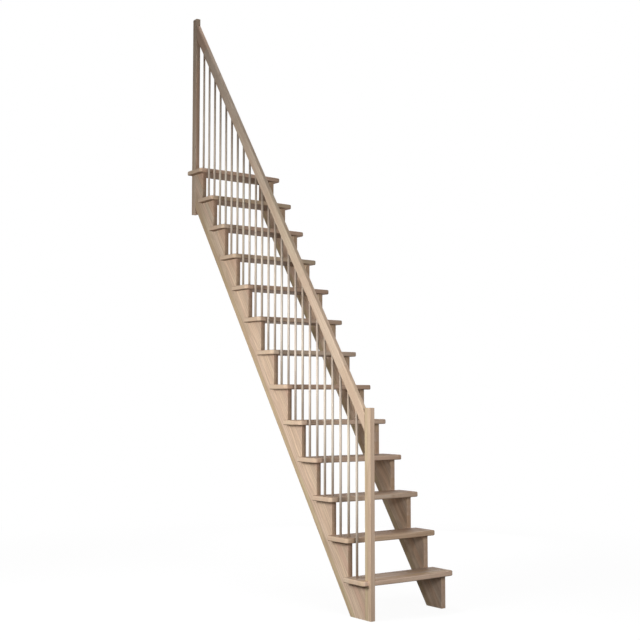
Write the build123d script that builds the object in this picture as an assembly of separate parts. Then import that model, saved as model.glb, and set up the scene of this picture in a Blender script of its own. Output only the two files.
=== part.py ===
from build123d import *
import math
import os

# Space-saving staircase of solid beech: thirteen open treads lie on the steps of two sawtooth
# stringers, with a rod balustrade along the left side.
# Origin: centre of the newel post's foot on the finished floor.
# X runs across the flight to the right, Y up the flight towards the upper floor, Z up.

# Flight
STEP_COUNT = 13
RISE = 220.0
GOING = 153.5
FLIGHT_WIDTH = 606.0

# Stringers: the throat is the wood left behind the notches, square to the slope
STRINGER_THICKNESS = 32.0
STRINGER_THROAT = 92.0
STRINGER_EDGE_ROUND = 2.0

# Treads: the nosing is measured at the middle of the bowed front edge
TREAD_THICKNESS = 30.0
TREAD_NOSING = 48.0
TREAD_SIDE_OVERHANG = 38.0
TREAD_FRONT_BOW = 15.0
TREAD_FRONT_CORNER = 25.0
TREAD_BACK_CORNER = 8.0
TREAD_EDGE_ROUND = 7.0

# Posts and handrail are cut from one thickness of board, so their faces are flush
BALUSTRADE_WIDTH = 32.0

# Posts: one section for the newel and for the post at the upper floor
POST_DEPTH = 52.0
POST_EDGE_ROUND = 3.0
NEWEL_ABOVE_RAIL = 31.0
TOP_POST_ABOVE_RAIL = 44.0
TOP_POST_BELOW_STRINGER = 46.0

# Handrail: a flat board on edge, its height measured over the tread tops at the riser planes
RAIL_HEIGHT = 930.0
RAIL_DEPTH = 63.0
RAIL_EDGE_ROUND = 7.0

# Balusters: two round rods to a going, the first one set back from the first riser plane
ROD_DIAMETER = 15.0
RODS_PER_GOING = 2
FIRST_ROD_SETBACK = 91.0
ROD_SOCKET_IN_TREAD = 18.0
ROD_SOCKET_IN_RAIL = 20.0
ROD_END_GAP = 0.2

# Clearances
SOCKET_CLEARANCE = 0.1
NOTCH_CLEARANCE = 0.3

# Places that follow from the sizes above
PITCH_SLOPE = RISE / GOING
PITCH_COSINE = math.cos(math.atan(PITCH_SLOPE))
LEFT_FACE = -STRINGER_THICKNESS / 2
RIGHT_FACE = LEFT_FACE + FLIGHT_WIDTH
FIRST_RISER = POST_DEPTH / 2
REAR_PLANE = FIRST_RISER + STEP_COUNT * GOING
TOP_POST_FRONT = REAR_PLANE - POST_DEPTH
THROAT_PLUMB = STRINGER_THROAT / PITCH_COSINE
ROD_PITCH = GOING / RODS_PER_GOING
ROD_COUNT = RODS_PER_GOING * (STEP_COUNT - 1)


def riser_plane(step):
    """Y of the plane in which the stringers rise to this step's tread."""
    return FIRST_RISER + (step - 1) * GOING


def tread_top(step):
    return step * RISE


def seat_height(step):
    """Z of the stringers' level cut that carries this step's tread."""
    return tread_top(step) - TREAD_THICKNESS


def stringer_underside(y):
    """Z of the stringers' lower edge, parallel to the line through the inner notch corners."""
    return PITCH_SLOPE * (y - FIRST_RISER) - TREAD_THICKNESS - THROAT_PLUMB


def rail_top(y):
    """Z of the handrail's upper edge, parallel to the pitch."""
    return RISE + RAIL_HEIGHT + PITCH_SLOPE * (y - FIRST_RISER)


def rail_underside(y):
    return rail_top(y) - RAIL_DEPTH / PITCH_COSINE


def rod_place(index):
    """Y of a baluster, counted from 0 at the foot of the flight."""
    return FIRST_RISER + FIRST_ROD_SETBACK + index * ROD_PITCH


def step_under(y):
    """Number of the step whose going lies at this Y."""
    return int((y - FIRST_RISER) // GOING) + 1


def rod_socket_floor(index):
    return tread_top(step_under(rod_place(index))) - ROD_SOCKET_IN_TREAD


def rod_socket_ceiling(index):
    """Z of a socket's blind end: its depth counts from the upper side of its slanting mouth."""
    mouth_rise = PITCH_SLOPE * ROD_DIAMETER / 2
    return rail_underside(rod_place(index)) + mouth_rise + ROD_SOCKET_IN_RAIL


def rod_socket(index, bottom, top):
    """Upright bore for a baluster between two heights."""
    radius = ROD_DIAMETER / 2 + SOCKET_CLEARANCE
    bore = Cylinder(radius, top - bottom, align=(Align.CENTER, Align.CENTER, Align.MIN))
    return Pos(0, rod_place(index), bottom) * bore


def make_stringer(outer_face, direction, plumb_cut):
    """Board with level seats and plumb risers above, cut level at the floor and plumb on top."""
    foot_back = FIRST_RISER + (TREAD_THICKNESS + THROAT_PLUMB) / PITCH_SLOPE
    outline = [(FIRST_RISER, 0)]
    for step in range(1, STEP_COUNT + 1):
        outline.append((riser_plane(step), seat_height(step)))
        seat_back = min(riser_plane(step + 1), plumb_cut)
        outline.append((seat_back, seat_height(step)))
    outline.append((plumb_cut, stringer_underside(plumb_cut)))
    outline.append((foot_back, 0))
    profile = make_face(Plane.YZ * Polyline(*outline, close=True))
    board = extrude(profile, amount=STRINGER_THICKNESS * direction, dir=(1, 0, 0))
    board = Pos(outer_face, 0, 0) * board
    faces = board.faces().filter_by(Axis.X)
    outer_rims = faces[0].edges() + faces[1].edges()
    plumb_rims = outer_rims.filter_by(Axis.Z)
    lower_rims = outer_rims.sort_by(SortBy.LENGTH)[-2:]
    return fillet(plumb_rims + lower_rims, STRINGER_EDGE_ROUND)


def tread_outline(step):
    """Plan of a tread: bowed front edge, large front corners, small back corners."""
    left = LEFT_FACE - TREAD_SIDE_OVERHANG
    right = RIGHT_FACE + TREAD_SIDE_OVERHANG
    front = riser_plane(step) - TREAD_NOSING
    back = riser_plane(step + 1)
    shoulder = front + TREAD_FRONT_BOW
    with BuildSketch(Plane.XY.offset(seat_height(step))) as plan:
        with BuildLine():
            ThreePointArc((left, shoulder), ((left + right) / 2, front), (right, shoulder))
            Polyline((right, shoulder), (right, back), (left, back), (left, shoulder))
        make_face()
        corners = plan.vertices().sort_by(Axis.Y)
        fillet(corners[:2], TREAD_FRONT_CORNER)
        corners = plan.vertices().sort_by(Axis.Y)
        fillet(corners[-2:], TREAD_BACK_CORNER)
    return plan.sketch


def post_notch(step, front, back):
    """Room for a post of the balustrade where it passes a tread."""
    width = BALUSTRADE_WIDTH + 2 * NOTCH_CLEARANCE
    cutter = Box(width, back - front, TREAD_THICKNESS, align=(Align.CENTER, Align.MIN, Align.MIN))
    return Pos(0, front, seat_height(step)) * cutter


def make_tread(step):
    tread = extrude(tread_outline(step), amount=TREAD_THICKNESS)
    levels = tread.faces().sort_by(Axis.Z)
    tread = fillet(levels[0].edges() + levels[-1].edges(), TREAD_EDGE_ROUND)
    if step == 1:
        ahead = riser_plane(step) - TREAD_NOSING - POST_DEPTH
        tread -= post_notch(step, ahead, FIRST_RISER + NOTCH_CLEARANCE)
    if step == STEP_COUNT:
        behind = REAR_PLANE + POST_DEPTH
        tread -= post_notch(step, TOP_POST_FRONT - NOTCH_CLEARANCE, behind)
    for index in range(ROD_COUNT):
        if step_under(rod_place(index)) == step:
            tread -= rod_socket(index, rod_socket_floor(index), tread_top(step) + RISE)
    return tread


def make_post(centre_y, bottom, top):
    block = Box(BALUSTRADE_WIDTH, POST_DEPTH, top - bottom, align=(Align.CENTER, Align.CENTER, Align.MIN))
    post = Pos(0, centre_y, bottom) * block
    head = post.faces().sort_by(Axis.Z)[-1].edges()
    return fillet(post.edges().filter_by(Axis.Z) + head, POST_EDGE_ROUND)


def make_newel():
    return make_post(0, 0, rail_top(FIRST_RISER) + NEWEL_ABOVE_RAIL)


def make_top_post():
    bottom = stringer_underside(TOP_POST_FRONT) - TOP_POST_BELOW_STRINGER
    top = rail_top(TOP_POST_FRONT) + TOP_POST_ABOVE_RAIL
    return make_post(REAR_PLANE - POST_DEPTH / 2, bottom, top)


def make_handrail():
    """Board on edge between the posts, its ends cut plumb, with a socket for every baluster."""
    outline = [
        (FIRST_RISER, rail_underside(FIRST_RISER)),
        (TOP_POST_FRONT, rail_underside(TOP_POST_FRONT)),
        (TOP_POST_FRONT, rail_top(TOP_POST_FRONT)),
        (FIRST_RISER, rail_top(FIRST_RISER)),
    ]
    profile = make_face(Plane.YZ * Polyline(*outline, close=True))
    board = Pos(-BALUSTRADE_WIDTH / 2, 0, 0) * extrude(profile, amount=BALUSTRADE_WIDTH, dir=(1, 0, 0))
    long_edges = board.edges().sort_by(SortBy.LENGTH)[-4:]
    rail = fillet(long_edges, RAIL_EDGE_ROUND)
    for index in range(ROD_COUNT):
        below = rail_underside(rod_place(index)) - RISE
        rail -= rod_socket(index, below, rod_socket_ceiling(index))
    return rail


def make_baluster(index):
    bottom = rod_socket_floor(index)
    length = rod_socket_ceiling(index) - ROD_END_GAP - bottom
    rod = Cylinder(ROD_DIAMETER / 2, length, align=(Align.CENTER, Align.CENTER, Align.MIN))
    return Pos(0, rod_place(index), bottom) * rod


def make_staircase():
    parts = {
        "stringer_left": make_stringer(LEFT_FACE, 1, TOP_POST_FRONT),
        "stringer_right": make_stringer(RIGHT_FACE, -1, REAR_PLANE),
        "newel_post": make_newel(),
        "top_post": make_top_post(),
        "handrail": make_handrail(),
    }
    for step in range(1, STEP_COUNT + 1):
        parts[f"tread_{step:02d}"] = make_tread(step)
    for index in range(ROD_COUNT):
        parts[f"baluster_{index + 1:02d}"] = make_baluster(index)
    return parts


os.makedirs("parts", exist_ok=True)
for name, solid in make_staircase().items():
    export_step(solid, f"parts/{name}.step")
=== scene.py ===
import math

import bpy
from mathutils import Euler, Matrix, Vector


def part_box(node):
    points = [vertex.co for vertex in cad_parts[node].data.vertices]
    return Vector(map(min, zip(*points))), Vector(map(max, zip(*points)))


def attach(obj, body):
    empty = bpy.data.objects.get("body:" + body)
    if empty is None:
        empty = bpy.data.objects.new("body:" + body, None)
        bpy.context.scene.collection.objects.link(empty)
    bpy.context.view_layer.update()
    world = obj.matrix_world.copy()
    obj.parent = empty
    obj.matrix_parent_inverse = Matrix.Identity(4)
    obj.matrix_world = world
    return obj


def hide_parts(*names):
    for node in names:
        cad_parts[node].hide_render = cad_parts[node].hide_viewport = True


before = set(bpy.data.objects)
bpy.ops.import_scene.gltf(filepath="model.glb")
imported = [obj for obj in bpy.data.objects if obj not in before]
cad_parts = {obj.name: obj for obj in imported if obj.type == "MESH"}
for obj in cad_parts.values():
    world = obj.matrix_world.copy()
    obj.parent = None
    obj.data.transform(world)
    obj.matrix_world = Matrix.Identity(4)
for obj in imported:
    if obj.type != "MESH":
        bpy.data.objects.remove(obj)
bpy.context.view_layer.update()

bl_info = {
    "name": "Space-Saving Staircase Finish",
    "version": (1, 0, 0),
    "blender": (4, 5, 0),
    "location": "View3D > Sidebar > Staircase",
    "description": "Dresses a steep beech staircase with timber finishes, turned rods and a studio",
    "category": "Object",
}

MM = 0.001
BODY = "root"
SENSOR_WIDTH = 36.0
STRINGERS = ["stringer_left", "stringer_right"]
POSTS = ["newel_post", "top_post"]
TREADS = sorted(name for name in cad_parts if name.startswith("tread_"))
RODS = sorted(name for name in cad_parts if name.startswith("baluster_"))


def box_of(node):
    """Lowest and highest corner of a node of the staircase, in metres."""
    low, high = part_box(node)
    return Vector(low), Vector(high)


def centre_of(node):
    low, high = box_of(node)
    return (low + high) / 2


FLIGHT_RISE = box_of(TREADS[1])[1].z - box_of(TREADS[0])[1].z
FLIGHT_GOING = box_of(TREADS[-1])[1].y - box_of(TREADS[-2])[1].y
ROD_SPACING = centre_of(RODS[1]).y - centre_of(RODS[0]).y
ROD_DIAMETER = box_of(RODS[0])[1].x - box_of(RODS[0])[0].x
ACROSS = Vector((1, 0, 0))
UPRIGHT = Vector((0, 0, 1))
ALONG_FLOOR = Vector((0, 1, 0))
UP_THE_PITCH = Vector((0, FLIGHT_GOING, FLIGHT_RISE)).normalized()
SQUARE_TO_PITCH = Vector((0, -FLIGHT_RISE, FLIGHT_GOING)).normalized()

# The rings lie round a pith outside the strip: how far it may move, and from where, in metres
PITH_SPREAD = (0.0, 0.22, 0.14)
PITH_START = (0.0, -0.11, 0.03)
RING_WANDER_SCALE = 2.4
RING_WANDER = (0.0, 0.06, 0.06)
RING_TAPER = (0.03, 1.0, 1.0)
RING_DARKEST = 0.8
RING_FADE = 0.45

# How strongly each trait of the wood colours it, where 1 covers it wholly
PALE_SHARE = 0.8
PINK_STRIP_SHARE = 0.7
STRAW_STRIP_SHARE = 0.4
SAPWOOD_SHARE = 0.7
PINK_DRIFT_SHARE = 0.3
DARK_STRIP_SHARE = 0.22
RING_SHARE = 0.24
STREAK_SHARE = 0.32
FLECK_SHARE = 0.35
FIBRE_SHARE = 0.12
GLUE_SHARE = 0.45

# How far the fibres stand up from a sanded face
FIBRE_RELIEF = 0.1 * MM

# Two board numbers to a rise, so that every tread counts as a board of its own
BOARDS_PER_METRE = 2 / FLIGHT_RISE
# Picked from many so that the paler and darker treads fall about where the photograph has them
BOARD_SEED = 45754.0
# Posts and handrail take their boards from other places in the same pile
POST_BATCH = 7
HANDRAIL_BATCH = 3
# Lengths of glued strips: few of the long ones are joined end to end within a piece
LONG_STRIP = 3.0
STRINGER_STRIP_LENGTH = 2.4
# Wider than the handrail, which is one lath wide
WHOLE_WIDTH = 0.4
# A sapwood strip comes this often, counted from the lower edge, so that a stringer has one
SAPWOOD_EVERY = 12
NO_SAPWOOD = 1000

# Studio floor: where its shadow fades out round the stair, and its tones
FLOOR_MIDDLE = (0.3, 0.9, 0.0)
SHADOW_FULL = 1.5
SHADOW_GONE = 4.5
SHADED_PAPER = "#595959"
UNSHADED_PAPER = "#000000"
SHADED_GLOW = 0.93
BOUNCED_TONE = "#656361"
WHITE = "#FFFFFF"

# Soft lamps: name, place, target, side in metres, and the setting that holds the power
LAMPS = (
    ("left_lamp", (-2.6, 0.5, 1.8), (0.0, 0.5, 0.7), 1.2, "key_power"),
    ("front_lamp", (-0.6, -2.3, 1.4), (0.1, 0.0, 0.7), 1.2, "front_power"),
    ("far_lamp", (-0.3, -4.5, 3.0), (0.2, 0.8, 1.4), 1.6, "far_power"),
    ("back_lamp", (3.0, 3.2, 0.7), (0.3, 1.3, 1.5), 1.6, "back_power"),
    ("top_lamp", (0.6, 2.75, 5.6), (0.3, 1.4, 2.2), 1.2, "top_power"),
)


def srgb(hex_colour):
    """Linear colour of an sRGB hex value such as #C8B090."""
    channels = [int(hex_colour[i:i + 2], 16) / 255 for i in (1, 3, 5)]
    linear = [c / 12.92 if c <= 0.04045 else ((c + 0.055) / 1.055) ** 2.4 for c in channels]
    return (*linear, 1.0)


def add_node(tree, kind, inputs=None, **settings):
    """Adds a node, sets its properties, and sets or links its inputs by name or number."""
    node = tree.nodes.new(kind)
    for name, value in settings.items():
        setattr(node, name, value)
    for key, value in (inputs or {}).items():
        if isinstance(value, bpy.types.NodeSocket):
            tree.links.new(value, node.inputs[key])
        else:
            node.inputs[key].default_value = value
    return node


class TimberSettings(bpy.types.PropertyGroup):
    """Colours and sizes that the beech pieces share."""
    pale: bpy.props.StringProperty(
        name="Pale Wood", description="sRGB hex of the palest strips", default="#F7EBD9")
    tan: bpy.props.StringProperty(
        name="Tan Wood", description="sRGB hex of the usual strips", default="#E6CEB3")
    pink: bpy.props.StringProperty(
        name="Pink Wood", description="sRGB hex of the steamed, pinkish strips", default="#E2BFA9")
    straw: bpy.props.StringProperty(
        name="Straw Wood", description="sRGB hex of the greenish sapwood strips", default="#D8C89E")
    stringer_plain: bpy.props.StringProperty(
        name="Stringer Wood", description="sRGB hex of the usual strips of a stringer",
        default="#F6DABC")
    stringer_light: bpy.props.StringProperty(
        name="Pale Stringer Wood", description="sRGB hex of the palest strips of a stringer",
        default="#FFF2DF")
    tread_plain: bpy.props.StringProperty(
        name="Tread Wood", description="sRGB hex of the usual strips of a tread", default="#DACAB5")
    tread_light: bpy.props.StringProperty(
        name="Pale Tread Wood", description="sRGB hex of the palest strips of a tread",
        default="#EFE5D5")
    newel_plain: bpy.props.StringProperty(
        name="Newel Wood", description="sRGB hex of the newel post", default="#F6DFC4")
    # Painted shade: darker than the newel's wood, for the weaker light at the upper floor
    top_post_shaded: bpy.props.StringProperty(
        name="Top Post Wood", description="sRGB hex of the post at the upper floor",
        default="#C9B299")
    tread_end: bpy.props.StringProperty(
        name="Tread End", description="sRGB hex of the sanded end of a tread", default="#F2D6B8")
    line: bpy.props.StringProperty(
        name="Growth Line", description="sRGB hex of the dark side of a ring", default="#A7866C")
    end: bpy.props.StringProperty(
        name="End Grain", description="sRGB hex of the open pores of a cross cut",
        default="#8E7059")
    # Painted shade for the undersides of the treads, which lie in shade
    underside_shade_colour: bpy.props.StringProperty(
        name="Underside Shade", description="sRGB hex of the dull wood under a tread",
        default="#77604C")
    stringer_strip: bpy.props.FloatProperty(
        name="Stringer Strip", description="Width of a glued strip of the stringers",
        default=38 * MM, min=5 * MM, unit="LENGTH")
    tread_strip: bpy.props.FloatProperty(
        name="Tread Strip", description="Width of a glued strip of the treads",
        default=41 * MM, min=5 * MM, unit="LENGTH")
    handrail_lath: bpy.props.FloatProperty(
        name="Handrail Lath", description="Length of a finger-jointed lath of the handrail",
        default=0.7, min=0.1, unit="LENGTH")
    ring_spacing: bpy.props.FloatProperty(
        name="Ring Spacing", description="Distance between the growth rings as drawn",
        default=10 * MM, min=1 * MM, unit="LENGTH")
    streak_width: bpy.props.FloatProperty(
        name="Streak Width", description="Width of a soft streak of the grain",
        default=16 * MM, min=1 * MM, unit="LENGTH")
    fleck_length: bpy.props.FloatProperty(
        name="Fleck Length", description="Length of a ray fleck along the grain",
        default=14 * MM, min=1 * MM, unit="LENGTH")
    glue_line: bpy.props.FloatProperty(
        name="Glue Line", description="Width of the line between two glued strips",
        default=0.8 * MM, min=0.1 * MM, unit="LENGTH")


class RodSettings(bpy.types.PropertyGroup):
    """Sizes and colours of the turned rods of the balustrade."""
    diameter: bpy.props.FloatProperty(
        name="Diameter", description="Diameter of a rod",
        default=ROD_DIAMETER, min=1 * MM, unit="LENGTH")
    per_step: bpy.props.IntProperty(
        name="Rods per Step", description="Rods that stand on one going of a tread",
        default=2, min=1)
    facets: bpy.props.IntProperty(
        name="Facets", description="Flat sides round a rod", default=32, min=8)
    sapwood: bpy.props.StringProperty(
        name="Sapwood", description="sRGB hex of the palest rods", default="#F5ECDF")
    heartwood: bpy.props.StringProperty(
        name="Heartwood", description="sRGB hex of the darkest rods", default="#E4D7C5")


class StageSettings(bpy.types.PropertyGroup):
    """Camera, floor and lamps."""
    camera_place: bpy.props.FloatVectorProperty(
        name="Camera Place", description="Where the camera stands",
        default=(-3.8812, -4.8546, 1.2418), subtype="TRANSLATION", unit="LENGTH")
    camera_heading: bpy.props.FloatProperty(
        name="Camera Heading", description="Turn of the view to the right of the flight",
        default=math.radians(36.07), subtype="ANGLE", unit="ROTATION")
    camera_tilt: bpy.props.FloatProperty(
        name="Camera Tilt", description="Tilt of the view above the horizon",
        default=math.radians(4.01), subtype="ANGLE", unit="ROTATION")
    focal_length: bpy.props.FloatProperty(
        name="Focal Length", description="Lens on a 36 mm sensor", default=61.78, unit="CAMERA")
    key_power: bpy.props.FloatProperty(
        name="Key Lamp", description="Power of the soft lamp on the left",
        default=62.0, unit="POWER")
    front_power: bpy.props.FloatProperty(
        name="Front Lamp", description="Power of the soft lamp before the first step",
        default=30.0, unit="POWER")
    far_power: bpy.props.FloatProperty(
        name="Far Lamp", description="Power of the high lamp far in front",
        default=56.0, unit="POWER")
    back_power: bpy.props.FloatProperty(
        name="Back Lamp", description="Power of the lamp behind the stair on its right",
        default=66.0, unit="POWER")
    top_power: bpy.props.FloatProperty(
        name="Top Lamp", description="Power of the lamp over the upper floor",
        default=75.0, unit="POWER")
    room_light: bpy.props.FloatProperty(
        name="Room Light", description="Brightness of the room round the stair",
        default=0.09, min=0.0)
    floor_reach: bpy.props.FloatProperty(
        name="Floor Reach", description="Half the side of the studio floor",
        default=14.0, unit="LENGTH")


def grain_turn(grain, across):
    """Rotation that brings the grain to X, the strips' width to Y and their thickness to Z."""
    return Matrix((grain, across, grain.cross(across))).to_euler("XYZ")


def lamellae(
        tree, along, across, through, strip_width, strip_length, glue_line, batch, sapwood_every):
    """A random colour for each strip, masks of glue lines and sapwood, and a tone for the board."""
    strip = add_node(tree, "ShaderNodeMath", {0: across, 1: strip_width}, operation="DIVIDE")
    strip_number = add_node(tree, "ShaderNodeMath", {0: strip.outputs[0]}, operation="FLOOR")
    stagger = add_node(tree, "ShaderNodeTexWhiteNoise", {
        "W": strip_number.outputs[0]}, noise_dimensions="1D")
    run = add_node(tree, "ShaderNodeMath", {
        0: along, 1: 1 / strip_length, 2: stagger.outputs["Value"]}, operation="MULTIPLY_ADD")
    run_number = add_node(tree, "ShaderNodeMath", {0: run.outputs[0]}, operation="FLOOR")
    board = add_node(tree, "ShaderNodeMath", {
        0: through, 1: BOARDS_PER_METRE, 2: batch}, operation="MULTIPLY_ADD")
    board_number = add_node(tree, "ShaderNodeMath", {0: board.outputs[0]}, operation="ROUND")
    cell = add_node(tree, "ShaderNodeCombineXYZ", {
        "X": run_number.outputs[0], "Y": strip_number.outputs[0], "Z": board_number.outputs[0]})
    chance = add_node(tree, "ShaderNodeTexWhiteNoise", {
        "Vector": cell.outputs[0]}, noise_dimensions="3D")
    # Glue lines: about 0.1 mm wide in a real board, drawn wider so that they show
    edges = []
    for count, size in ((strip, strip_width), (run, strip_length)):
        to_edge = add_node(tree, "ShaderNodeMath", {
            0: count.outputs[0], 1: 0.5}, operation="PINGPONG")
        edges.append(add_node(tree, "ShaderNodeMapRange", {
            "Value": to_edge.outputs[0], "From Min": 0.0, "From Max": glue_line / size,
            "To Min": 1.0, "To Max": 0.0}))
    glue = add_node(tree, "ShaderNodeMath", {
        0: edges[0].outputs[0], 1: edges[1].outputs[0]}, operation="MAXIMUM")
    turn_in_set = add_node(tree, "ShaderNodeMath", {
        0: strip_number.outputs[0], 1: float(sapwood_every)}, operation="FLOORED_MODULO")
    sapwood = add_node(tree, "ShaderNodeMath", {
        0: turn_in_set.outputs[0], 1: 0.5}, operation="LESS_THAN")
    tone_number = add_node(tree, "ShaderNodeMath", {
        0: board_number.outputs[0], 1: BOARD_SEED}, operation="ADD")
    tone = add_node(tree, "ShaderNodeTexWhiteNoise", {
        "W": tone_number.outputs[0]}, noise_dimensions="1D")
    return chance, glue.outputs[0], sapwood.outputs[0], tone.outputs["Value"]


def growth_rings(tree, grain, chance, spacing):
    """Long cone-shaped rings round each strip's own pith, 1 on their dark side."""
    pith = add_node(tree, "ShaderNodeVectorMath", {
        0: chance.outputs["Color"], 1: PITH_SPREAD, 2: PITH_START}, operation="MULTIPLY_ADD")
    from_pith = add_node(tree, "ShaderNodeVectorMath", {
        0: grain, 1: pith.outputs[0]}, operation="ADD")
    wander = add_node(tree, "ShaderNodeTexNoise", {
        "Vector": grain, "Scale": RING_WANDER_SCALE, "Detail": 1.5})
    bend = add_node(tree, "ShaderNodeVectorMath", {
        0: wander.outputs["Color"], 1: RING_WANDER, 2: from_pith.outputs[0]},
        operation="MULTIPLY_ADD")
    cone = add_node(tree, "ShaderNodeVectorMath", {
        0: bend.outputs[0], 1: RING_TAPER}, operation="MULTIPLY")
    radius = add_node(tree, "ShaderNodeVectorMath", {0: cone.outputs[0]}, operation="LENGTH")
    ring = add_node(tree, "ShaderNodeMath", {
        0: radius.outputs["Value"], 1: spacing}, operation="DIVIDE")
    part = add_node(tree, "ShaderNodeMath", {0: ring.outputs[0]}, operation="FRACT")
    peak = add_node(tree, "ShaderNodeMath", {
        0: part.outputs[0], 1: RING_DARKEST}, operation="SUBTRACT")
    away = add_node(tree, "ShaderNodeMath", {0: peak.outputs[0]}, operation="ABSOLUTE")
    return add_node(tree, "ShaderNodeMapRange", {
        "Value": away.outputs[0], "From Min": 0.0, "From Max": RING_FADE,
        "To Min": 1.0, "To Max": 0.0}, interpolation_type="SMOOTHSTEP").outputs["Result"]


def grain_noise(tree, grain, length, width, detail, low, high):
    """Noise drawn out along the grain, spread over 0 to 1."""
    stretch = add_node(tree, "ShaderNodeVectorMath", {
        0: grain, 1: (1 / length, 1 / width, 1 / width)}, operation="MULTIPLY")
    noise = add_node(tree, "ShaderNodeTexNoise", {
        "Vector": stretch.outputs[0], "Scale": 1.0, "Detail": detail, "Roughness": 0.6})
    return add_node(tree, "ShaderNodeMapRange", {
        "Value": noise.outputs[0], "From Min": low, "From Max": high}).outputs["Result"]


def tint(tree, part, amount, colour, other):
    """Mixes part x amount of the other colour into a colour."""
    share = add_node(tree, "ShaderNodeMath", {0: part, 1: amount}, operation="MULTIPLY")
    mixed = add_node(tree, "ShaderNodeMix", {
        0: share.outputs[0], 6: colour, 7: other}, data_type="RGBA")
    return mixed.outputs[2]


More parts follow.
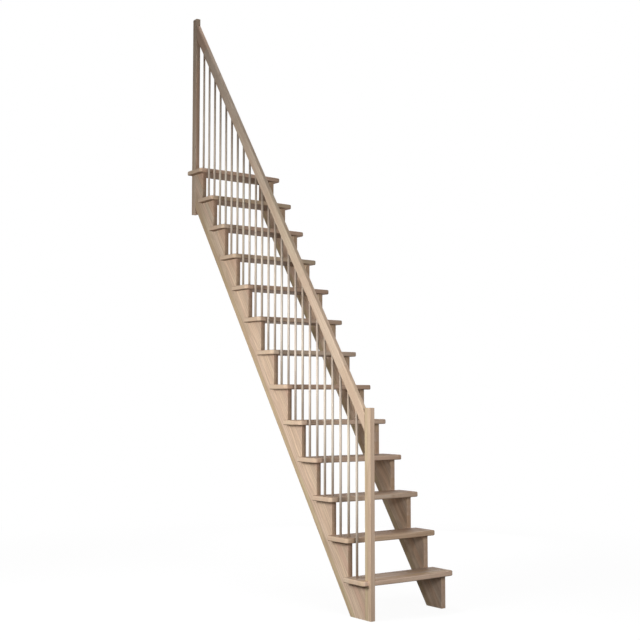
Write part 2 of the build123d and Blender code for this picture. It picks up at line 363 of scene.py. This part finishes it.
def beech(name, grain_direction, across, settings, strip_width, strip_length,
          first_strip=0.0, end_share=0.3, figure=1.0, batch=0,
          sapwood_every=NO_SAPWOOD, plain=None, light=None, end=None,
          painted_face_shade=0.0, painted_underside_shade=0.0, board_variation=0.0):
    """Solid or glued beech with the grain, strips and end grain where the real piece has them.

    figure is how strong the markings are, batch which boards of the pile are used, and plain,
    light and end are the piece's own colours where it differs from the other pieces.
    """
    material = bpy.data.materials.new(name)
    material.use_nodes = True
    tree = material.node_tree
    tree.nodes.clear()
    turn = grain_turn(grain_direction, across)
    place = add_node(tree, "ShaderNodeTexCoord")
    turned = add_node(tree, "ShaderNodeMapping", {
        "Vector": place.outputs["Object"], "Location": (0, -first_strip, 0), "Rotation": turn})
    grain = turned.outputs[0]
    split = add_node(tree, "ShaderNodeSeparateXYZ", {"Vector": grain})
    along, aside, through = split.outputs
    chance, glue, sapwood, tone = lamellae(
        tree, along, aside, through, strip_width, strip_length,
        settings.glue_line, batch, sapwood_every)
    # Growth rings: 2 to 4 mm apart in real beech, drawn wider so that they show
    rings = growth_rings(tree, grain, chance, settings.ring_spacing)
    dice = add_node(tree, "ShaderNodeSeparateColor", {"Color": chance.outputs["Color"]})
    # Many strips are pinkish and few are straw-coloured
    pinkness = add_node(tree, "ShaderNodeMapRange", {
        "Value": dice.outputs[1], "From Min": 0.35, "From Max": 0.75})
    strawness = add_node(tree, "ShaderNodeMapRange", {
        "Value": dice.outputs[2], "From Min": 0.5, "From Max": 0.8})

    # Long soft streaks, wide enough for the eye to follow the grain from across a room
    streaks = grain_noise(
        tree, grain, length=0.35, width=settings.streak_width, detail=2.0, low=0.35, high=0.65)
    # Fibres: beech pores are 0.1 mm, drawn ten times as wide so that they show at all
    fibres = grain_noise(
        tree, grain, length=30 * MM, width=1 * MM, detail=3.0, low=0.3, high=0.7)
    # Ray flecks: small brown dashes 1 to 3 mm long, drawn longer so that they show
    flecks = grain_noise(
        tree, grain, length=settings.fleck_length, width=2.2 * MM, detail=0.0, low=0.66, high=0.78)
    # Slow drift of the heart's pink through the plank
    drift = grain_noise(
        tree, grain, length=0.4, width=60 * MM, detail=1.0, low=0.36, high=0.64)

    colour = tint(
        tree, dice.outputs[0], PALE_SHARE,
        srgb(plain or settings.tan), srgb(light or settings.pale))
    for part, share, other in (
            (pinkness.outputs["Result"], PINK_STRIP_SHARE, settings.pink),
            (strawness.outputs["Result"], STRAW_STRIP_SHARE, settings.straw),
            (sapwood, SAPWOOD_SHARE, settings.straw),
            (drift, PINK_DRIFT_SHARE, settings.pink),
            (chance.outputs["Value"], DARK_STRIP_SHARE, settings.line),
            (rings, RING_SHARE, settings.line),
            (streaks, STREAK_SHARE, settings.line),
            (flecks, FLECK_SHARE, settings.line),
            (fibres, FIBRE_SHARE, settings.line)):
        colour = tint(tree, part, share * figure, colour, srgb(other))

    # Each board comes from another tree, some of them darker
    colour = tint(tree, tone, board_variation, colour, srgb(settings.end))

    # A cross cut shows open pores: darker where it is left from the saw, paler where it is sanded
    facing = add_node(tree, "ShaderNodeMapping", {
        "Vector": place.outputs["Normal"], "Rotation": turn}, vector_type="VECTOR")
    cut = add_node(tree, "ShaderNodeSeparateXYZ", {"Vector": facing.outputs[0]})
    squareness = add_node(tree, "ShaderNodeMath", {0: cut.outputs[0]}, operation="ABSOLUTE")
    end_grain = add_node(tree, "ShaderNodeMapRange", {
        "Value": squareness.outputs[0], "From Min": 0.25, "From Max": 0.6},
        interpolation_type="SMOOTHSTEP")
    colour = tint(tree, end_grain.outputs["Result"], end_share, colour, srgb(end or settings.end))
    # Painted shade: the broad top and under faces are darkened, where little light falls on them
    broadness = add_node(tree, "ShaderNodeMath", {0: cut.outputs[2]}, operation="ABSOLUTE")
    broad_face = add_node(tree, "ShaderNodeMapRange", {
        "Value": broadness.outputs[0], "From Min": 0.6, "From Max": 0.95},
        interpolation_type="SMOOTHSTEP")
    colour = tint(tree, broad_face.outputs["Result"], painted_face_shade, colour, srgb(settings.end))
    # Painted shade: darkens the underside and its lower rounding, where shade falls under a tread
    underside = add_node(tree, "ShaderNodeMapRange", {
        "Value": cut.outputs[2], "From Min": -0.15, "From Max": -0.8},
        interpolation_type="SMOOTHSTEP")
    colour = tint(
        tree, underside.outputs["Result"], painted_underside_shade, colour, srgb(settings.underside_shade_colour))
    colour = tint(tree, glue, GLUE_SHARE, colour, srgb(settings.line))

    # Sanded dry wood: matt, with fibres that stand up a little and glue lines that sink in
    fibre_height = add_node(tree, "ShaderNodeMath", {0: fibres, 1: flecks}, operation="SUBTRACT")
    height = add_node(tree, "ShaderNodeMath", {
        0: fibre_height.outputs[0], 1: glue}, operation="SUBTRACT")
    bump = add_node(tree, "ShaderNodeBump", {
        "Height": height.outputs[0], "Strength": 0.35, "Distance": FIBRE_RELIEF})
    roughness = add_node(tree, "ShaderNodeMapRange", {
        "Value": streaks, "To Min": 0.7, "To Max": 0.8})
    surface = add_node(tree, "ShaderNodeBsdfPrincipled", {
        "Base Color": colour, "Roughness": roughness.outputs["Result"],
        "Specular IOR Level": 0.15, "Normal": bump.outputs[0]})
    add_node(tree, "ShaderNodeOutputMaterial", {"Surface": surface.outputs[0]})
    return material


def give(nodes, material):
    for name in nodes:
        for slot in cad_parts[name].material_slots:
            slot.material = material


class STAIR_OT_stringers(bpy.types.Operator):
    """Give the two sawtooth stringers their edge-glued beech"""
    bl_idname = "stair.stringers"
    bl_label = "Finish Stringers"

    def execute(self, context):
        settings = context.scene.stair_timber
        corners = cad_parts["stringer_right"].data.vertices
        lower_edge = min(corner.co.dot(SQUARE_TO_PITCH) for corner in corners)
        # Boards sawn to the pitch: straight strips that follow the slope, the lowest one of
        # straw-coloured sapwood, and darker saw cuts across the fibres on the risers
        give(STRINGERS, beech(
            "Edge-glued beech, sawn and sanded", UP_THE_PITCH, SQUARE_TO_PITCH, settings,
            strip_width=settings.stringer_strip, strip_length=STRINGER_STRIP_LENGTH,
            first_strip=lower_edge, end_share=0.5, sapwood_every=SAPWOOD_EVERY,
            plain=settings.stringer_plain, light=settings.stringer_light))
        return {"FINISHED"}


class STAIR_OT_treads(bpy.types.Operator):
    """Give the treads their planed and sanded beech"""
    bl_idname = "stair.treads"
    bl_label = "Finish Treads"

    def execute(self, context):
        settings = context.scene.stair_timber
        # Planed boards: strips and grain run across the flight, each board has a tone of its own,
        # and the sanded ends stay paler; painted shade darkens the top face and more the underside
        give(TREADS, beech(
            "Edge-glued beech, planed and sanded", ACROSS, ALONG_FLOOR, settings,
            strip_width=settings.tread_strip, strip_length=LONG_STRIP, end_share=0.5,
            # Painted shade on the broad faces and on the underside
            painted_face_shade=0.58, painted_underside_shade=0.6, board_variation=0.44,
            plain=settings.tread_plain, light=settings.tread_light, end=settings.tread_end))
        return {"FINISHED"}


class STAIR_OT_posts(bpy.types.Operator):
    """Give the newel post and the top post their upright beech, glued from two halves"""
    bl_idname = "stair.posts"
    bl_label = "Finish Posts"

    def execute(self, context):
        settings = context.scene.stair_timber
        low, high = box_of("newel_post")
        apart = centre_of("top_post").y - centre_of("newel_post").y
        halves = round(apart / ((high.y - low.y) / 2))
        # Two planed halves: plain upright grain with one glue line down the side and a darker
        # head. The top post takes a darker colour than the newel, painted shade for the dimmer
        # light up there
        for post, plain in zip(POSTS, (settings.newel_plain, settings.top_post_shaded)):
            give([post], beech(
                "Beech post, glued from two halves and planed", UPRIGHT, ALONG_FLOOR, settings,
                strip_width=apart / halves, strip_length=LONG_STRIP, figure=0.85,
                batch=POST_BATCH, plain=plain))
        return {"FINISHED"}


class STAIR_OT_handrail(bpy.types.Operator):
    """Give the handrail its planed beech along the pitch"""
    bl_idname = "stair.handrail"
    bl_label = "Finish Handrail"

    def execute(self, context):
        settings = context.scene.stair_timber
        # Planed laths finger-jointed end to end: the tone changes from lath to lath up the slope
        give(["handrail"], beech(
            "Finger-jointed beech handrail, planed", UP_THE_PITCH, SQUARE_TO_PITCH, settings,
            strip_width=WHOLE_WIDTH, strip_length=settings.handrail_lath, batch=HANDRAIL_BATCH))
        return {"FINISHED"}


def rod_row_tree():
    """Rods in a row, each one standing on its step and reaching up to the handrail."""
    tree = bpy.data.node_groups.new("Rods under a raked handrail", "GeometryNodeTree")
    inputs = (
        ("Count", "NodeSocketInt"),
        ("Rods per Step", "NodeSocketInt"),
        ("First Bottom", "NodeSocketVector"),
        ("First Length", "NodeSocketFloat"),
        ("Spacing", "NodeSocketFloat"),
        ("Step Rise", "NodeSocketFloat"),
        ("Handrail Slope", "NodeSocketFloat"),
        ("Diameter", "NodeSocketFloat"),
        ("Facets", "NodeSocketInt"),
        ("Material", "NodeSocketMaterial"),
    )
    tree.interface.new_socket("Geometry", in_out="OUTPUT", socket_type="NodeSocketGeometry")
    for name, kind in inputs:
        tree.interface.new_socket(name, in_out="INPUT", socket_type=kind)
    sizes = add_node(tree, "NodeGroupInput").outputs
    apart = add_node(tree, "ShaderNodeCombineXYZ", {"Y": sizes["Spacing"]})
    feet = add_node(tree, "GeometryNodeMeshLine", {
        "Count": sizes["Count"], "Start Location": sizes["First Bottom"],
        "Offset": apart.outputs[0]})
    number = add_node(tree, "GeometryNodeInputIndex").outputs[0]

    # The first step carries one rod, so the count runs one ahead
    ahead = add_node(tree, "ShaderNodeMath", {0: number, 1: 1.0}, operation="ADD")
    steps = add_node(tree, "ShaderNodeMath", {
        0: ahead.outputs[0], 1: sizes["Rods per Step"]}, operation="DIVIDE")
    whole = add_node(tree, "ShaderNodeMath", {0: steps.outputs[0]}, operation="FLOOR")
    climb = add_node(tree, "ShaderNodeMath", {
        0: whole.outputs[0], 1: sizes["Step Rise"]}, operation="MULTIPLY")
    lift = add_node(tree, "ShaderNodeCombineXYZ", {"Z": climb.outputs[0]})
    seated = add_node(tree, "GeometryNodeSetPosition", {
        "Geometry": feet.outputs[0], "Offset": lift.outputs[0]})

    # A rod is as long as the handrail has risen above its step
    run = add_node(tree, "ShaderNodeMath", {0: number, 1: sizes["Spacing"]}, operation="MULTIPLY")
    rake = add_node(tree, "ShaderNodeMath", {
        0: run.outputs[0], 1: sizes["Handrail Slope"], 2: sizes["First Length"]},
        operation="MULTIPLY_ADD")
    length = add_node(tree, "ShaderNodeMath", {
        0: rake.outputs[0], 1: climb.outputs[0]}, operation="SUBTRACT")
    stretch = add_node(tree, "ShaderNodeCombineXYZ", {"X": 1.0, "Y": 1.0, "Z": length.outputs[0]})

    radius = add_node(tree, "ShaderNodeMath", {0: sizes["Diameter"], 1: 2.0}, operation="DIVIDE")
    rod = add_node(tree, "GeometryNodeMeshCylinder", {
        "Vertices": sizes["Facets"], "Radius": radius.outputs[0], "Depth": 1.0})
    flat = add_node(tree, "GeometryNodeSetShadeSmooth", {
        "Geometry": rod.outputs["Mesh"], "Shade Smooth": False})
    round_side = add_node(tree, "GeometryNodeSetShadeSmooth", {
        "Geometry": flat.outputs[0], "Selection": rod.outputs["Side"], "Shade Smooth": True})
    on_foot = add_node(tree, "GeometryNodeTransform", {
        "Geometry": round_side.outputs[0], "Translation": (0, 0, 0.5)})
    row = add_node(tree, "GeometryNodeInstanceOnPoints", {
        "Points": seated.outputs[0], "Instance": on_foot.outputs[0], "Scale": stretch.outputs[0]})
    real = add_node(tree, "GeometryNodeRealizeInstances", {"Geometry": row.outputs[0]})
    finished = add_node(tree, "GeometryNodeSetMaterial", {
        "Geometry": real.outputs[0], "Material": sizes["Material"]})
    add_node(tree, "NodeGroupOutput", {"Geometry": finished.outputs[0]})
    return tree


def plain_mesh(name, tree, values):
    """A piece made by a Geometry Nodes tree with these values, as a plain mesh."""
    piece = bpy.data.objects.new(name, bpy.data.meshes.new(name))
    bpy.context.scene.collection.objects.link(piece)
    modifier = piece.modifiers.new(tree.name, "NODES")
    modifier.node_group = tree
    for item in tree.interface.items_tree:
        if item.in_out == "INPUT":
            modifier[item.identifier] = values[item.name]
    graph = bpy.context.evaluated_depsgraph_get()
    mesh = bpy.data.meshes.new_from_object(piece.evaluated_get(graph))
    piece.modifiers.remove(modifier)
    piece.data = mesh
    mesh.name = name
    return piece


class STAIR_OT_rods(bpy.types.Operator):
    """Turn the rods of the balustrade and stand them between the treads and the handrail"""
    bl_idname = "stair.rods"
    bl_label = "Make Rods"

    def execute(self, context):
        settings = context.scene.stair_rods
        low, high = box_of(RODS[0])
        # Turned from straight pale stock: almost no figure, only a slight change from rod to rod
        material = beech(
            "Turned beech rod, sanded", UPRIGHT, ALONG_FLOOR, context.scene.stair_timber,
            strip_width=ROD_SPACING, strip_length=LONG_STRIP,
            first_strip=centre_of(RODS[0]).y + ROD_SPACING / 2, figure=0.25,
            plain=settings.heartwood, light=settings.sapwood)
        rods = plain_mesh("balusters", rod_row_tree(), {
            "Count": len(RODS),
            "Rods per Step": settings.per_step,
            "First Bottom": (centre_of(RODS[0]).x, centre_of(RODS[0]).y, low.z),
            "First Length": high.z - low.z,
            "Spacing": ROD_SPACING,
            "Step Rise": FLIGHT_RISE,
            "Handrail Slope": FLIGHT_RISE / FLIGHT_GOING,
            "Diameter": settings.diameter,
            "Facets": settings.facets,
            "Material": material,
        })
        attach(rods, BODY)
        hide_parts(*RODS)
        return {"FINISHED"}


def seen_directly(tree):
    """1 for what the camera sees, itself, in a reflection or through glass."""
    rays = add_node(tree, "ShaderNodeLightPath").outputs
    seen = add_node(tree, "ShaderNodeMath", {
        0: rays["Is Camera Ray"], 1: rays["Is Glossy Ray"]}, operation="MAXIMUM")
    return add_node(tree, "ShaderNodeMath", {
        0: seen.outputs[0], 1: rays["Is Transmission Ray"]}, operation="MAXIMUM").outputs[0]


def studio_paper():
    """Matt paper: white to the camera, with a faint shadow near the stair, grey to the stair."""
    material = bpy.data.materials.new("Matt white studio paper")
    material.use_nodes = True
    tree = material.node_tree
    tree.nodes.clear()
    place = add_node(tree, "ShaderNodeTexCoord")
    middle = add_node(tree, "ShaderNodeVectorMath", {
        0: place.outputs["Object"], 1: FLOOR_MIDDLE}, operation="DISTANCE")
    far = add_node(tree, "ShaderNodeMapRange", {
        "Value": middle.outputs["Value"], "From Min": SHADOW_FULL, "From Max": SHADOW_GONE},
        interpolation_type="SMOOTHSTEP")
    shadowed = add_node(tree, "ShaderNodeMix", {
        0: far.outputs["Result"], 6: srgb(SHADED_PAPER), 7: srgb(UNSHADED_PAPER)},
        data_type="RGBA")
    glow = add_node(tree, "ShaderNodeMapRange", {
        "Value": far.outputs["Result"], "To Min": SHADED_GLOW, "To Max": 1.0})
    grey = add_node(tree, "ShaderNodeBsdfDiffuse", {"Color": srgb(BOUNCED_TONE)})
    shade = add_node(tree, "ShaderNodeBsdfDiffuse", {"Color": shadowed.outputs[2]})
    light = add_node(tree, "ShaderNodeEmission", {
        "Color": srgb(WHITE), "Strength": glow.outputs["Result"]})
    paper = add_node(tree, "ShaderNodeAddShader", {0: shade.outputs[0], 1: light.outputs[0]})
    mix = add_node(tree, "ShaderNodeMixShader", {
        0: seen_directly(tree), 1: grey.outputs[0], 2: paper.outputs[0]})
    add_node(tree, "ShaderNodeOutputMaterial", {"Surface": mix.outputs[0]})
    return material


def make_studio_floor(reach):
    mesh = bpy.data.meshes.new("studio_floor")
    corners = [(-reach, -reach, 0), (reach, -reach, 0), (reach, reach, 0), (-reach, reach, 0)]
    mesh.from_pydata(corners, [], [(0, 1, 2, 3)])
    floor = bpy.data.objects.new("studio_floor", mesh)
    bpy.context.scene.collection.objects.link(floor)
    mesh.materials.append(studio_paper())


def make_room(brightness):
    """White for the camera, softer for the light that it gives."""
    world = bpy.data.worlds.new("White studio")
    bpy.context.scene.world = world
    world.use_nodes = True
    tree = world.node_tree
    tree.nodes.clear()
    room = add_node(tree, "ShaderNodeBackground", {"Color": srgb(WHITE), "Strength": brightness})
    white = add_node(tree, "ShaderNodeBackground", {"Color": srgb(WHITE), "Strength": 1.0})
    mix = add_node(tree, "ShaderNodeMixShader", {
        0: seen_directly(tree), 1: room.outputs[0], 2: white.outputs[0]})
    add_node(tree, "ShaderNodeOutputWorld", {"Surface": mix.outputs[0]})


def add_lamp(name, place, target, size, power):
    """A soft square lamp that no camera sees."""
    lamp = bpy.data.lights.new(name, "AREA")
    lamp.size = size
    lamp.energy = power
    holder = bpy.data.objects.new(name, lamp)
    holder.location = place
    holder.rotation_euler = (Vector(target) - Vector(place)).to_track_quat("-Z", "Y").to_euler()
    holder.visible_camera = False
    bpy.context.scene.collection.objects.link(holder)


class STAIR_OT_stage(bpy.types.Operator):
    """Set up the camera, the floor and the lamps"""
    bl_idname = "stair.stage"
    bl_label = "Set Up Studio"

    def execute(self, context):
        settings = context.scene.stair_stage
        scene = context.scene
        scene.view_settings.view_transform = "Standard"
        camera_data = bpy.data.cameras.new("photo_camera")
        camera_data.sensor_width = SENSOR_WIDTH
        camera_data.lens = settings.focal_length
        camera = bpy.data.objects.new("photo_camera", camera_data)
        camera.location = settings.camera_place
        level = math.pi / 2
        camera.rotation_euler = Euler((level + settings.camera_tilt, 0, -settings.camera_heading))
        scene.collection.objects.link(camera)
        scene.camera = camera
        make_studio_floor(settings.floor_reach)
        make_room(settings.room_light)
        for name, place, target, size, power in LAMPS:
            add_lamp(name, place, target, size, getattr(settings, power))
        return {"FINISHED"}


class STAIR_PT_panel(bpy.types.Panel):
    """Lists the steps that dress the staircase"""
    bl_label = "Staircase"
    bl_idname = "STAIR_PT_panel"
    bl_space_type = "VIEW_3D"
    bl_region_type = "UI"
    bl_category = "Staircase"

    def draw(self, context):
        for operator in OPERATORS:
            self.layout.operator(operator.bl_idname)


OPERATORS = (
    STAIR_OT_stringers,
    STAIR_OT_treads,
    STAIR_OT_posts,
    STAIR_OT_handrail,
    STAIR_OT_rods,
    STAIR_OT_stage,
)
CLASSES = (TimberSettings, RodSettings, StageSettings, *OPERATORS, STAIR_PT_panel)


def register():
    for cls in CLASSES:
        bpy.utils.register_class(cls)
    bpy.types.Scene.stair_timber = bpy.props.PointerProperty(type=TimberSettings)
    bpy.types.Scene.stair_rods = bpy.props.PointerProperty(type=RodSettings)
    bpy.types.Scene.stair_stage = bpy.props.PointerProperty(type=StageSettings)


def unregister():
    del bpy.types.Scene.stair_stage
    del bpy.types.Scene.stair_rods
    del bpy.types.Scene.stair_timber
    for cls in reversed(CLASSES):
        bpy.utils.unregister_class(cls)


def main():
    register()
    bpy.ops.stair.stringers()
    bpy.ops.stair.treads()
    bpy.ops.stair.posts()
    bpy.ops.stair.handrail()
    bpy.ops.stair.rods()
    bpy.ops.stair.stage()


if __name__ == "__main__":
    main()
